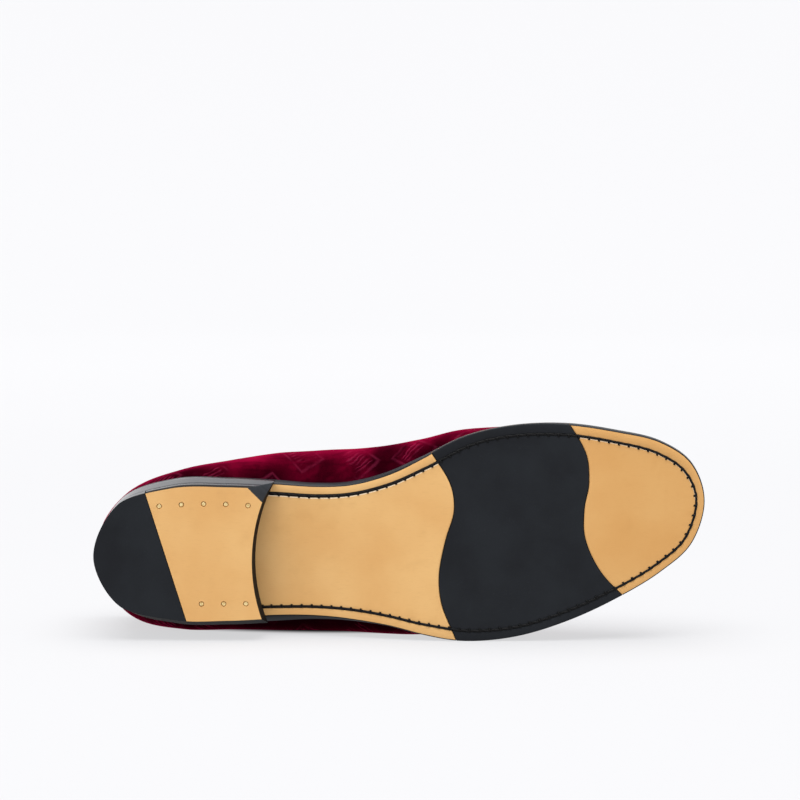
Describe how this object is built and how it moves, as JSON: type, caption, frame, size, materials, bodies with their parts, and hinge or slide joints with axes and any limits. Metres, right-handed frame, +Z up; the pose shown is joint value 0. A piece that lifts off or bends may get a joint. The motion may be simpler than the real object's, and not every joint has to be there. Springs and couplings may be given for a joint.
{
  "type": "loafer",
  "caption": "Left velvet loafer lying on its outer side: leather sole with a wavy rubber half sole, hollow upper and a low nailed heel.",
  "frame": {"origin": "middle of the lying shoe's box, on the floor", "axes": "+X from heel to toe, +Y from the sole towards the collar, +Z up from the outer side to the inner side"},
  "size_m": [0.2894, 0.0868, 0.1027],
  "materials": {
    "velvet_on_leather": "velvet",
    "lining_leather": "matte",
    "black_leather": "polished",
    "tan_leather": "satin",
    "black_rubber": "matte",
    "brass": "polished"
  },
  "bodies": {
    "root": {"upper": "velvet_on_leather", "insole": "lining_leather", "welt": "black_leather", "outsole": "tan_leather", "forefoot_insert": "black_rubber", "heel_stack": "black_leather", "top_piece": "tan_leather", "heel_tip": "black_rubber", "nail_inner_1": "brass", "nail_inner_2": "brass", "nail_inner_3": "brass", "nail_inner_4": "brass", "nail_inner_5": "brass", "nail_outer_1": "brass", "nail_outer_2": "brass", "nail_outer_3": "brass"}
  },
  "joints": []
}
